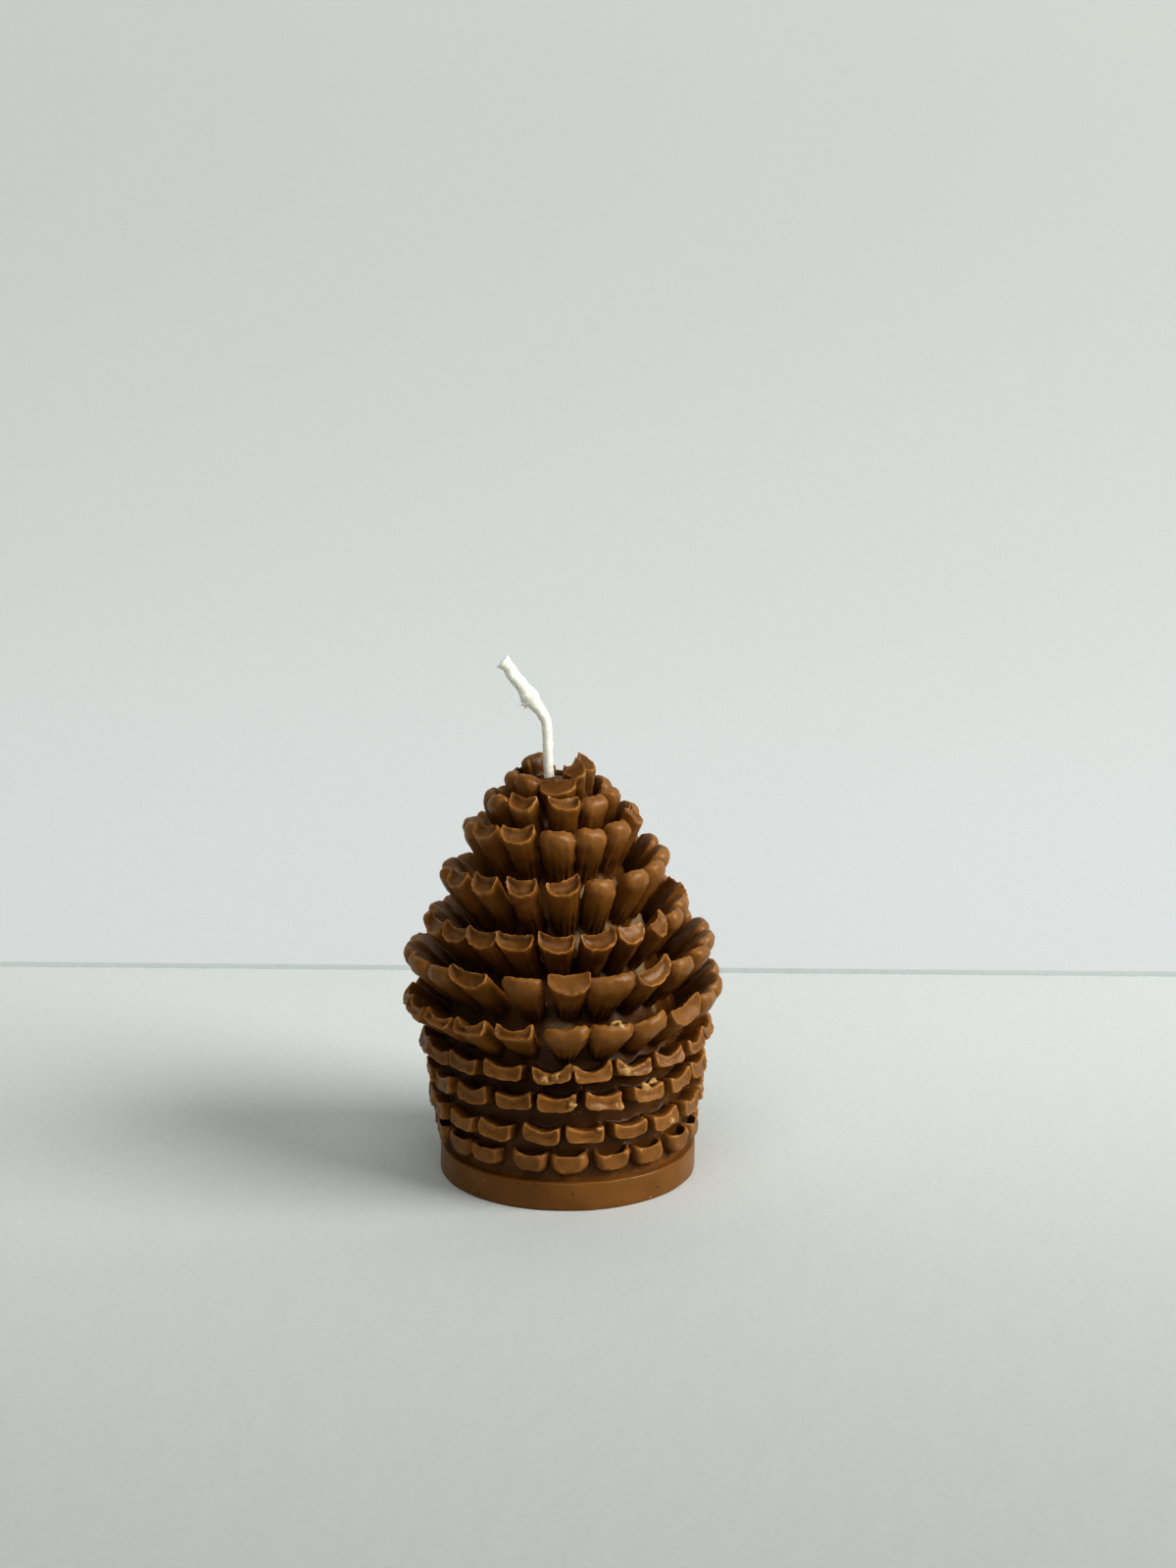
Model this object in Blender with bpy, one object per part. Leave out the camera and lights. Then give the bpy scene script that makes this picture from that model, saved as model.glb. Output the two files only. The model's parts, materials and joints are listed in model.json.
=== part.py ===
"""A pine-cone candle: one brown wax casting on a thin plinth, and the cotton wick it burns by.

The wax is a single casting. A ring of small cups stands on the plinth. Above it the scales climb the
core in one spiral that rises to the right: short blunt stubs on the straight lower part, long fans
that open on the shoulder, and steep fingers that close round the wick. Lengths are in millimetres
here and the meshes are made in metres. The origin is the middle of the plinth's flat foot, +Z is up
and the front of the candle looks along -Y.
"""

import math
import random
from collections import namedtuple

import bpy
import bmesh
from mathutils import Vector

MM = 0.001
WELD_DISTANCE = 0.000001

# Plinth and core
PLINTH_RADIUS = 22.5
PLINTH_HEIGHT = 5.0
PLINTH_EDGE = 0.4
PLINTH_SIDES = 48
CORE_PROFILE = ((2.0, 21.3), (25.0, 20.7), (31.0, 19.0), (40.0, 15.9), (50.0, 12.6),
                (60.0, 9.2), (66.5, 6.2), (69.6, 4.0))
CORE_SIDES = 24

# The cone leans a little to the left as it rises, more towards its tip.
LEAN_AT_TOP = 2.4
LEAN_HEIGHT = 72.0
LEAN_POWER = 1.5

# One row for each turn of scales, from the plinth up: the first is a closed ring, the others are
# the spiral's turns. Height, radius and angle are those of the scale that faces front, the angle in
# degrees to the right; pitch is the angle from it to the next scale and count is the number of
# scales up to the next row's front one.
Turn = namedtuple("Turn", "height radius slope length width root count front pitch")
TURNS = (
    Turn(9.2, 23.6, 8, 2.6, 7.0, 6.4, 19, 1.8, 19.3),
    Turn(14.1, 24.0, 6, 3.0, 6.5, 6.2, 18, 8.3, 19.0),
    Turn(19.9, 24.4, 10, 3.5, 6.7, 6.2, 19, -1.5, 18.3),
    Turn(25.2, 25.0, 18, 4.6, 7.0, 5.6, 21, -5.5, 17.3),
    Turn(33.3, 27.8, 38, 10.4, 7.4, 2.4, 21, 1.3, 16.2),
    Turn(41.6, 27.2, 42, 12.2, 7.1, 2.8, 21, 3.0, 16.5),
    Turn(47.2, 22.6, 48, 11.6, 6.3, 3.2, 19, -0.2, 16.8),
    Turn(56.0, 19.8, 55, 11.6, 5.7, 3.5, 15, 4.3, 20.5),
    Turn(63.7, 14.8, 62, 10.6, 5.6, 3.6, 12, 1.8, 24.0),
    Turn(68.2, 11.0, 68, 9.0, 5.0, 3.4, 9, 9.0, 34.0),
    Turn(71.8, 6.6, 77, 7.0, 4.6, 3.0, 6, 4.0, 44.0),
)
CROWN = Turn(73.2, 4.6, 82, 6.0, 4.4, 2.8, 0, 268.0, 44.0)
# Each turn is nearly level across the front and climbs and draws in more round the back.
LEVEL_FRONT = 0.7
# The crown's front scale is broken off short.
BROKEN_TURN = 10
BROKEN_OFF = 1.8
# The spiral starts behind, this many scales before its first front one, and lower by the drop.
LEAD_IN = 9
LEAD_IN_DROP = 0.9

# Scale sections, as shares of a scale's width or thickness
SCALE_THICKNESS = 2.6
ROOT_THINNING = 0.8
RIM_HEIGHT = 0.45
KEEL_DEPTH = 0.5
ROUND_SIDE = 0.87
ROUND_SIDE_DEPTH = 0.12
ROUND_FLAT = 0.45
BOX_FOOT = 0.9
ROOT_SUNK = 2.2

# Stubs: the four lowest turns, each with how deep its upper face is dished
STUB_TURNS = 4
STUB_DISHES = (1.5, 0.4, 0.5, 1.2)
STUB_THICKNESS = 3.0
STUB_ROOT_THINNING = 0.9
STUB_ROOT_DISH = 0.3
STUB_EDGE = 0.6
STUB_END_WIDTH = 0.86
STUB_END_THICKNESS = 0.8
STUB_END_TILT = 0.1
STUB_END_HOLLOW = 0.2

# Fans: the long scales, their ends cut back on the underside and a little hollow
FAN_ROOT_DISH = 0.1
FAN_END_DISH = 0.6
CUT_BACK = 17.0
FAN_END_HOLLOW = 0.5

# Fingers: on the front right of three upper turns the ends are rounded over instead of cut
FINGER_TURNS = range(7, 10)
FINGER_ANGLES = (-8.0, 70.0)
FINGER_DISH = 0.3
FINGER_FULL_TO = 0.84
FINGER_END_WIDTH = 0.62
FINGER_END_THICKNESS = 0.55
FINGER_TIP = 0.1

# Small differences between scales, the same on every run
SEED = 11
TURN_WOBBLE = 1.0
WIDTH_WOBBLE = 0.04
SLOPE_WOBBLE = 1.5

# Wick: a waxed cotton cord in the middle of the wax, standing bent above the tip
WICK_RADIUS = 1.05
WICK_CLEARANCE = 0.32
WICK_FOOT = 3.0
WICK_SIDES_RESOLUTION = 2
WICK_ROUTE = ((0.0, WICK_FOOT), (-0.3, 18.0), (-0.9, 36.0), (-1.9, 54.0), (-3.0, 68.0),
              (-3.3, 73.7), (-3.7, 79.4), (-4.6, 81.7), (-5.7, 83.7), (-7.3, 84.9),
              (-8.8, 86.8), (-9.9, 88.8), (-11.0, 90.3))
WICK_SWELL_FROM = 80.0
WICK_SWELL = 1.16
ROUTE_STEPS = 4
BORE_TOP_POINT = 7

WAX_BROWN = (0.215, 0.090, 0.028)
COTTON_WHITE = (0.80, 0.78, 0.70)


def clear_scene():
    for item in list(bpy.data.objects):
        bpy.data.objects.remove(item, do_unlink=True)


def plain_material(name, colour, roughness):
    material = bpy.data.materials.new(name)
    material.use_nodes = True
    shader = material.node_tree.nodes["Principled BSDF"]
    shader.inputs["Base Color"].default_value = (*colour, 1.0)
    shader.inputs["Roughness"].default_value = roughness
    shader.inputs["Metallic"].default_value = 0.0
    return material


def add_object(name, mesh):
    item = bpy.data.objects.new(name, mesh)
    bpy.context.scene.collection.objects.link(item)
    return item


def lean_left(height):
    """How far the cone's axis has drifted to the left at a height."""
    share = max(height, 0.0) / LEAN_HEIGHT
    return -LEAN_AT_TOP * share ** LEAN_POWER


def mesh_from_rings(name, rings, end_point):
    """A closed skin over rings of points, flat at the first ring and fanned to a point at the last."""
    body = bmesh.new()
    loops = [[body.verts.new(Vector(point) * MM) for point in ring] for ring in rings]
    body.faces.new(reversed(loops[0]))
    for low, high in zip(loops, loops[1:]):
        for i in range(len(low)):
            j = (i + 1) % len(low)
            body.faces.new((low[i], low[j], high[j], high[i]))
    tip = body.verts.new(Vector(end_point) * MM)
    for first, second in zip(loops[-1], loops[-1][1:] + loops[-1][:1]):
        body.faces.new((first, second, tip))
    bmesh.ops.triangulate(body, faces=body.faces)
    bmesh.ops.recalc_face_normals(body, faces=body.faces)
    if body.calc_volume(signed=True) < 0.0:
        bmesh.ops.reverse_faces(body, faces=body.faces)
    mesh = bpy.data.meshes.new(name)
    body.to_mesh(mesh)
    body.free()
    return mesh


def turned_ring(height, radius, sides):
    ring = []
    for i in range(sides):
        angle = 2.0 * math.pi * i / sides
        ring.append((radius * math.cos(angle) + lean_left(height), radius * math.sin(angle), height))
    return ring


def turned_solid(name, outline, sides):
    """A solid turned round the cone's axis from (height, radius) points."""
    top = outline[-1][0]
    rings = [turned_ring(height, radius, sides) for height, radius in outline]
    return mesh_from_rings(name, rings, (lean_left(top), 0.0, top))


def plinth_outline():
    rim = PLINTH_RADIUS - PLINTH_EDGE
    return ((0.0, rim), (PLINTH_EDGE, PLINTH_RADIUS), (PLINTH_HEIGHT - PLINTH_EDGE, PLINTH_RADIUS),
            (PLINTH_HEIGHT, rim))


def blend(a, b, share):
    return a + (b - a) * share


def ease(share):
    """A share of a turn, held back near its two ends at the front."""
    return blend(share, share * share * (3.0 - 2.0 * share), LEVEL_FRONT)


def turn_between(low, high, share):
    """The row of sizes a share of the way from one turn to the next."""
    return Turn(*(blend(a, b, share) for a, b in zip(low, high)))


def foot_scales():
    """The closed ring of cups on the plinth, then the spiral's start, rising from behind it."""
    ring = TURNS[0]
    places = [(0, ring.front + 360.0 * step / ring.count, ring) for step in range(ring.count)]
    start = TURNS[1]
    for step in range(LEAD_IN, 0, -1):
        sizes = start._replace(height=start.height - LEAD_IN_DROP * step / LEAD_IN)
        places.append((1, start.front - step * start.pitch, sizes))
    return places


def scale_places():
    """Every scale as (turn number, angle, sizes), from the plinth to the crown."""
    places = foot_scales()
    for number in range(1, len(TURNS)):
        low = TURNS[number]
        last = number + 1 == len(TURNS)
        high = CROWN if last else TURNS[number + 1]
        whole = high.front - low.front if last else 360.0 + high.front - low.front
        widening = (whole / low.count - low.pitch) / (low.count - 1)
        for step in range(low.count):
            along = (low.pitch - widening) * step + widening * step * step
            sizes = turn_between(low, high, ease(step / low.count))
            if number == BROKEN_TURN and step == 0:
                sizes = sizes._replace(height=low.height - BROKEN_OFF)
            places.append((number, low.front + along, sizes))
    return places


def round_section(width, thickness, dish):
    """Seven points round a scale: two upper rims, a dished upper face and a rounded underside."""
    half = width / 2.0
    rim = thickness * RIM_HEIGHT
    keel = -thickness * KEEL_DEPTH
    side = half * ROUND_SIDE
    side_height = -thickness * ROUND_SIDE_DEPTH
    flat = half * ROUND_FLAT
    return [(half, rim), (0.0, rim - dish), (-half, rim), (-side, side_height), (-flat, keel),
            (flat, keel), (side, side_height)]


def box_section(width, thickness, dish):
    """Five points round a blunt scale: two upper corners, a dished upper face, two lower corners."""
    half = width / 2.0
    rim = thickness * RIM_HEIGHT
    keel = -thickness * KEEL_DEPTH
    foot = half * BOX_FOOT
    return [(half, rim), (0.0, rim - dish), (-half, rim), (-foot, keel), (foot, keel)]


def ring_across(points, reach, tilt):
    """A section set across the scale at a distance along it, its underside drawn back by the tilt."""
    return [(reach + height * tilt, across, height) for across, height in points]


def stub_rings(sizes, turn):
    """A short blunt scale of the lower turns: nearly level, its end flat with a soft edge."""
    cross_section = round_section if turn == 0 else box_section
    dish = STUB_DISHES[turn]
    root = cross_section(sizes.root, STUB_THICKNESS * STUB_ROOT_THINNING, dish * STUB_ROOT_DISH)
    full = cross_section(sizes.width, STUB_THICKNESS, dish)
    end = cross_section(sizes.width * STUB_END_WIDTH, STUB_THICKNESS * STUB_END_THICKNESS, dish)
    rings = [ring_across(root, -ROOT_SUNK, 0.0),
             ring_across(full, sizes.length - STUB_EDGE, STUB_END_TILT),
             ring_across(end, sizes.length, STUB_END_TILT)]
    return rings, (sizes.length - STUB_END_HOLLOW, 0.0, -STUB_EDGE / 2.0)


def fan_rings(sizes):
    """A long scale of the upper turns, narrow at its root and wide at its end, cut to a crescent."""
    root = round_section(sizes.root, SCALE_THICKNESS * ROOT_THINNING, FAN_ROOT_DISH)
    end = round_section(sizes.width, SCALE_THICKNESS, FAN_END_DISH)
    rings = [ring_across(root, -ROOT_SUNK, 0.0),
             ring_across(end, sizes.length, math.tan(math.radians(CUT_BACK)))]
    return rings, (sizes.length - FAN_END_HOLLOW, 0.0, -FAN_ROOT_DISH)


def finger_rings(sizes):
    """A scale of the upper turns whose end is rounded over."""
    root = round_section(sizes.root, SCALE_THICKNESS * ROOT_THINNING, FAN_ROOT_DISH)
    full = round_section(sizes.width, SCALE_THICKNESS, FINGER_DISH)
    end = round_section(sizes.width * FINGER_END_WIDTH, SCALE_THICKNESS * FINGER_END_THICKNESS, 0.0)
    rings = [ring_across(root, -ROOT_SUNK, 0.0),
             ring_across(full, sizes.length * FINGER_FULL_TO, 0.0),
             ring_across(end, sizes.length, 0.0)]
    return rings, (sizes.length + FINGER_TIP, 0.0, 0.0)


def scale_shape(turn, angle, sizes):
    facing = (angle + 180.0) % 360.0 - 180.0
    if turn < STUB_TURNS:
        return stub_rings(sizes, turn)
    if turn in FINGER_TURNS and FINGER_ANGLES[0] < facing < FINGER_ANGLES[1]:
        return finger_rings(sizes)
    return fan_rings(sizes)


def place_point(point, angle, sizes):
    """A point of a scale's own frame (along, across, up from its face) as a point of the candle."""
    along, across, up = point
    slope = math.radians(sizes.slope)
    outwards = sizes.radius + (along - sizes.length) * math.cos(slope) - up * math.sin(slope)
    height = sizes.height + (along - sizes.length) * math.sin(slope) + up * math.cos(slope)
    turned = math.radians(angle)
    x = outwards * math.sin(turned) + across * math.cos(turned)
    y = -outwards * math.cos(turned) + across * math.sin(turned)
    return (x + lean_left(height), y, height)


def add_scales(collection):
    """One closed solid for each scale, its root sunk into the core."""
    draw = random.Random(SEED)
    for count, (turn, angle, sizes) in enumerate(scale_places()):
        angle += draw.uniform(-TURN_WOBBLE, TURN_WOBBLE)
        sizes = sizes._replace(
            width=sizes.width * (1.0 + draw.uniform(-WIDTH_WOBBLE, WIDTH_WOBBLE)),
            slope=sizes.slope + draw.uniform(-SLOPE_WOBBLE, SLOPE_WOBBLE))
        rings, end_point = scale_shape(turn, angle, sizes)
        placed = [[place_point(point, angle, sizes) for point in ring] for ring in rings]
        mesh = mesh_from_rings("scale", placed, place_point(end_point, angle, sizes))
        collection.objects.link(bpy.data.objects.new(f"scale_{count:03d}", mesh))


def smooth_route(points, steps):
    """Points on a smooth curve through the given (x, height) points."""
    ends = [points[0], *points, points[-1]]
    route = []
    for before, start, stop, after in zip(ends, ends[1:], ends[2:], ends[3:]):
        for step in range(steps):
            t = step / steps
            place = []
            for a, b, c, d in zip(before, start, stop, after):
                bend = (2.0 * a - 5.0 * b + 4.0 * c - d) * t + (3.0 * (b - c) + d - a) * t * t
                place.append(b + 0.5 * t * (c - a + bend))
            route.append(place)
    route.append(points[-1])
    return route


def cord_along(name, points, radius, swell):
    """A round cord through (x, height) points, a little thicker above the swell height."""
    curve = bpy.data.curves.new(name, "CURVE")
    curve.dimensions = "3D"
    curve.bevel_depth = radius * MM
    curve.bevel_resolution = WICK_SIDES_RESOLUTION
    curve.use_fill_caps = True
    spline = curve.splines.new("POLY")
    spline.points.add(len(points) - 1)
    for spot, (x, height) in zip(spline.points, points):
        spot.co = (x * MM, 0.0, height * MM, 1.0)
        spot.radius = swell if height > WICK_SWELL_FROM else 1.0
    return add_object(name, curve)


def apply_boolean(target, operation, collection, solver):
    """Join or cut the target by all of a collection, then remove the collection's objects."""
    cut = target.modifiers.new("join", "BOOLEAN")
    cut.operation = operation
    cut.operand_type = "COLLECTION"
    cut.collection = collection
    cut.solver = solver
    bpy.context.view_layer.update()
    graph = bpy.context.evaluated_depsgraph_get()
    mesh = bpy.data.meshes.new_from_object(target.evaluated_get(graph))
    target.modifiers.clear()
    target.data = mesh
    for item in list(collection.objects):
        bpy.data.objects.remove(item, do_unlink=True)
    bpy.data.collections.remove(collection)


def new_collection(name):
    collection = bpy.data.collections.new(name)
    bpy.context.scene.collection.children.link(collection)
    return collection


def as_mesh_object(item, name):
    """A closed mesh object with the evaluated shape of a curve, which is removed."""
    graph = bpy.context.evaluated_depsgraph_get()
    mesh = bpy.data.meshes.new_from_object(item.evaluated_get(graph))
    bpy.data.objects.remove(item, do_unlink=True)
    body = bmesh.new()
    body.from_mesh(mesh)
    bmesh.ops.remove_doubles(body, verts=body.verts, dist=WELD_DISTANCE)
    bmesh.ops.recalc_face_normals(body, faces=body.faces)
    body.to_mesh(mesh)
    body.free()
    return bpy.data.objects.new(name, mesh)


def connected_skins(body):
    """The mesh's vertices in groups, one for each skin that hangs together."""
    left = set(body.verts)
    skins = []
    while left:
        reached = [left.pop()]
        for vertex in reached:
            for edge in vertex.link_edges:
                other = edge.other_vert(vertex)
                if other in left:
                    left.remove(other)
                    reached.append(other)
        skins.append(reached)
    return skins


def keep_outer_skin(mesh):
    """Fill what hollows the union sealed and drop loose scraps, by keeping only the largest skin."""
    body = bmesh.new()
    body.from_mesh(mesh)
    skins = sorted(connected_skins(body), key=len)
    spare = [vertex for skin in skins[:-1] for vertex in skin]
    bmesh.ops.delete(body, geom=spare, context="VERTS")
    bmesh.ops.triangulate(body, faces=body.faces, ngon_method="EAR_CLIP")
    body.to_mesh(mesh)
    body.free()


def make_wax():
    wax = add_object("wax_body", turned_solid("wax_body", plinth_outline(), PLINTH_SIDES))
    parts = new_collection("cast_in_one")
    core = turned_solid("core", CORE_PROFILE, CORE_SIDES)
    parts.objects.link(bpy.data.objects.new("core", core))
    add_scales(parts)
    apply_boolean(wax, "UNION", parts, "MANIFOLD")
    bore = new_collection("bore")
    foot = (0.0, WICK_FOOT - WICK_CLEARANCE)
    route = smooth_route((foot, *WICK_ROUTE[1:BORE_TOP_POINT]), ROUTE_STEPS)
    cutter = cord_along("bore", route, WICK_RADIUS + WICK_CLEARANCE, 1.0)
    bore.objects.link(as_mesh_object(cutter, "bore_cutter"))
    apply_boolean(wax, "DIFFERENCE", bore, "MANIFOLD")
    keep_outer_skin(wax.data)
    wax.data.materials.clear()
    wax.data.materials.append(plain_material("brown_wax", WAX_BROWN, 0.38))
    return wax


def make_wick():
    wick = cord_along("wick", smooth_route(WICK_ROUTE, ROUTE_STEPS), WICK_RADIUS, WICK_SWELL)
    wick.data.materials.append(plain_material("waxed_cotton", COTTON_WHITE, 0.8))
    return wick


clear_scene()
make_wax()
make_wick()
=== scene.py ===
# %% [markdown]
# A pine-cone candle
#
# This lesson dresses a small candle that was cast in brown wax in the shape of a pine cone. The
# imported model gives its true sizes and stands as the frame. Here the same cone is modelled again
# with soft edges, hollow scale ends, ridges and chips, and the wick becomes a waxed cotton cord.

import json
import math
import random
from collections import namedtuple

import bmesh
import bpy
import numpy as np
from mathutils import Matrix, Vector, noise

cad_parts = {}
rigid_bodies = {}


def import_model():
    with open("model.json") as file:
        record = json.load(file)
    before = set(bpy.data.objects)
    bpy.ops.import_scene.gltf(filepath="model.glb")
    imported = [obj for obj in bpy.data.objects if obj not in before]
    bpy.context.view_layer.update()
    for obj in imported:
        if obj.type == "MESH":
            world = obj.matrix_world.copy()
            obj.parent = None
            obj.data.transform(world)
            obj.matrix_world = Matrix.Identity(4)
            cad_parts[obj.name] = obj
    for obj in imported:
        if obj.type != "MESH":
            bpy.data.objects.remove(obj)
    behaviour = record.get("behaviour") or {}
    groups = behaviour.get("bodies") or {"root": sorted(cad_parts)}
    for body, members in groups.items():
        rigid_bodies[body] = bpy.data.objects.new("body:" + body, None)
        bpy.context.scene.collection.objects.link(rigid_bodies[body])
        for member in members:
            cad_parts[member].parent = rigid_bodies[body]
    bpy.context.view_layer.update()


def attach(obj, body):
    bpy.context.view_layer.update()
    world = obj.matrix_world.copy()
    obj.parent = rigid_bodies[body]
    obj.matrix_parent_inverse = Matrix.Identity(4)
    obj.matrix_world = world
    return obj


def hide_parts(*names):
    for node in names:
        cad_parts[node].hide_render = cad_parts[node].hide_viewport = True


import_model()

# %% [markdown]
# Units and small helpers
#
# Wax details are tenths of a millimetre, so the pieces are modelled with one unit as a millimetre
# and shrunk to metres at the end. Blender's operators act on whatever is selected, so each step
# starts by choosing one object alone, and picks its edges or faces by where they are.

# %% Helpers for modelling by hand
MM = 0.001


def take(item):
    """Leave edit mode, and select this object alone."""
    if bpy.context.object and bpy.context.object.mode != "OBJECT":
        bpy.ops.object.mode_set(mode="OBJECT")
    bpy.ops.object.select_all(action="DESELECT")
    item.select_set(True)
    bpy.context.view_layer.objects.active = item


def start_editing(item, kind):
    take(item)
    bpy.ops.object.mode_set(mode="EDIT")
    bpy.ops.mesh.select_mode(type=kind)
    bpy.ops.mesh.select_all(action="DESELECT")


def stop_editing():
    bpy.ops.object.mode_set(mode="OBJECT")


def pick(item, kind, wanted):
    """In edit mode, select the points, edges or faces whose place and direction pass a test."""
    bpy.ops.mesh.select_mode(type=kind)
    bpy.ops.mesh.select_all(action="DESELECT")
    mesh = bmesh.from_edit_mesh(item.data)
    if kind == "VERT":
        for point in mesh.verts:
            point.select_set(wanted(point.co, point.normal))
    elif kind == "EDGE":
        for edge in mesh.edges:
            a, b = (end.co for end in edge.verts)
            edge.select_set(wanted((a + b) / 2, (b - a).normalized()))
    else:
        for face in mesh.faces:
            face.select_set(wanted(face.calc_center_median(), face.normal))
    mesh.select_flush_mode()
    bmesh.update_edit_mesh(item.data)


def move(x=0.0, y=0.0, z=0.0):
    bpy.ops.transform.translate(value=(x, y, z))


def cut(item, place, normal, clear=False):
    """Cut the whole mesh along a plane, and if asked throw away the far side and close the cut."""
    bpy.ops.mesh.select_all(action="SELECT")
    bpy.ops.mesh.bisect(plane_co=place, plane_no=normal, clear_outer=clear, use_fill=clear)


def finish_with(item, name, kind, **settings):
    """Add a modifier with its settings and apply it."""
    take(item)
    modifier = item.modifiers.new(name, kind)
    for setting, value in settings.items():
        setattr(modifier, setting, value)
    bpy.ops.object.modifier_apply(modifier=name)


# %% [markdown]
# The cone's layout
#
# A ring of cups stands on the plinth, and above it the scales follow one spiral that rises to the
# right, as they grow on a real cone. A row of sizes is given for each turn, read at the front, and
# everything between two rows is worked out. The same rows and the same random draws are used in
# the frame, so each soft scale lands on its plain one.

# %% Rows of scales
Turn = namedtuple("Turn", "height radius slope length width root count front pitch")
TURNS = (
    Turn(9.2, 23.6, 8, 2.6, 7.0, 6.4, 19, 1.8, 19.3),
    Turn(14.1, 24.0, 6, 3.0, 6.5, 6.2, 18, 8.3, 19.0),
    Turn(19.9, 24.4, 10, 3.5, 6.7, 6.2, 19, -1.5, 18.3),
    Turn(25.2, 25.0, 18, 4.6, 7.0, 5.6, 21, -5.5, 17.3),
    Turn(33.3, 27.8, 38, 10.4, 7.4, 2.4, 21, 1.3, 16.2),
    Turn(41.6, 27.2, 42, 12.2, 7.1, 2.8, 21, 3.0, 16.5),
    Turn(47.2, 22.6, 48, 11.6, 6.3, 3.2, 19, -0.2, 16.8),
    Turn(56.0, 19.8, 55, 11.6, 5.7, 3.5, 15, 4.3, 20.5),
    Turn(63.7, 14.8, 62, 10.6, 5.6, 3.6, 12, 1.8, 24.0),
    Turn(68.2, 11.0, 68, 9.0, 5.0, 3.4, 9, 9.0, 34.0),
    Turn(71.8, 6.6, 77, 7.0, 4.6, 3.0, 6, 4.0, 44.0),
)
CROWN = Turn(73.2, 4.6, 82, 6.0, 4.4, 2.8, 0, 268.0, 44.0)
LEVEL_FRONT = 0.7
BROKEN_TURN = 10
BROKEN_OFF = 1.8
LEAD_IN = 9
LEAD_IN_DROP = 0.9
LEAN_AT_TOP = 2.4
LEAN_HEIGHT = 72.0
LEAN_POWER = 1.5
SEED = 11
TURN_WOBBLE = 1.0
WIDTH_WOBBLE = 0.04
SLOPE_WOBBLE = 1.5
ROOT_SUNK = 2.2
STUB_TURNS = 4


def blend(a, b, share):
    return a + (b - a) * share


def smooth_share(share):
    share = min(max(share, 0.0), 1.0)
    return share * share * (3.0 - 2.0 * share)


def turn_between(low, high, share):
    return Turn(*(blend(a, b, share) for a, b in zip(low, high)))


def lean_left(height):
    """How far the cone's axis has drifted to the left at a height."""
    return -LEAN_AT_TOP * (max(height, 0.0) / LEAN_HEIGHT) ** LEAN_POWER


def scale_places():
    """Every scale as (turn number, step in the turn, angle, sizes), from the plinth to the crown."""
    ring, start = TURNS[:2]
    places = [(0, step, ring.front + 360.0 * step / ring.count, ring) for step in range(ring.count)]
    for step in range(LEAD_IN, 0, -1):
        sizes = start._replace(height=start.height - LEAD_IN_DROP * step / LEAD_IN)
        places.append((1, -step, start.front - step * start.pitch, sizes))
    for number in range(1, len(TURNS)):
        low = TURNS[number]
        last = number + 1 == len(TURNS)
        high = CROWN if last else TURNS[number + 1]
        whole = high.front - low.front if last else 360.0 + high.front - low.front
        widening = (whole / low.count - low.pitch) / (low.count - 1)
        for step in range(low.count):
            along = (low.pitch - widening) * step + widening * step * step
            share = step / low.count
            sizes = turn_between(low, high, blend(share, smooth_share(share), LEVEL_FRONT))
            if number == BROKEN_TURN and step == 0:
                sizes = sizes._replace(height=low.height - BROKEN_OFF)
            places.append((number, step, low.front + along, sizes))
    return places


places = scale_places()
print("scales on the cone:", len(places))

# %% [markdown]
# A scale with a cut end
#
# The long scales are half-round underneath and end in a half-moon face, which is hollow like the
# bowl of a spoon and has a soft raised rim. A block becomes one when its lower edges are rounded far
# over, its upper face is dished along three lengthwise cuts and its underside gets a low keel. The
# end is then sliced at a slant, and the slice is inset and pushed in twice.

# %% The fan
SCALE_THICKNESS = 3.3
FAN_WIDTH = 6.4
FAN_LENGTH = 14.0
FAN_SLANT = math.radians(17.0)
EDGE_REACH = 0.05


def new_block(name, width, length, thickness):
    """A block that lies along +Y from the origin, its upper face up."""
    if bpy.context.object and bpy.context.object.mode != "OBJECT":
        bpy.ops.object.mode_set(mode="OBJECT")
    bpy.ops.object.select_all(action="DESELECT")
    bpy.ops.mesh.primitive_cube_add(
        size=1.0, location=(0.0, length / 2.0, 0.0), scale=(width, length, thickness))
    block = bpy.context.object
    block.name = name
    bpy.ops.object.transform_apply(location=True, rotation=False, scale=True)
    return block


def round_long_edges(item, width, thickness, below, above):
    """Bevel the lengthwise edges of the underside, and then those of the upper side."""
    side, level = width / 2.0 - EDGE_REACH, thickness / 2.0 - EDGE_REACH
    for radius, segments, sign in ((below, 5, -1.0), (above, 2, 1.0)):
        pick(item, "EDGE", lambda at, d: abs(at.x) > side and at.z * sign > level and abs(d.y) > 0.9)
        bpy.ops.mesh.bevel(offset=radius, offset_type="OFFSET", segments=segments, affect="EDGES")


def dish_and_keel(item, width, thickness, dish, keel):
    """Three lengthwise cuts: the upper face sinks along them, and the underside drops."""
    quarter = width * 0.26
    for x in (-quarter, 0.0, quarter):
        cut(item, (x, 0.0, 0.0), (1.0, 0.0, 0.0))
    level = thickness / 2.0 - EDGE_REACH
    for x, share in ((0.0, 1.0), (quarter, 0.66)):
        for sign, drop in ((1.0, dish), (-1.0, keel)):
            pick(item, "VERT", lambda at, n: at.z * sign > level and abs(abs(at.x) - x) < EDGE_REACH)
            move(z=-drop * share)


def hollow_end(item, facing, rim, depth):
    """Inset the end face and push it in, twice, so that the hollow is rounded."""
    pick(item, "FACE", lambda at, n: n.dot(facing) > 0.98)
    for inset, share in ((rim, 0.7), (rim * 1.2, 0.3)):
        bpy.ops.mesh.inset(thickness=inset, depth=0.0, use_even_offset=False)
        push = -facing * depth * share
        move(*push)


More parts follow.
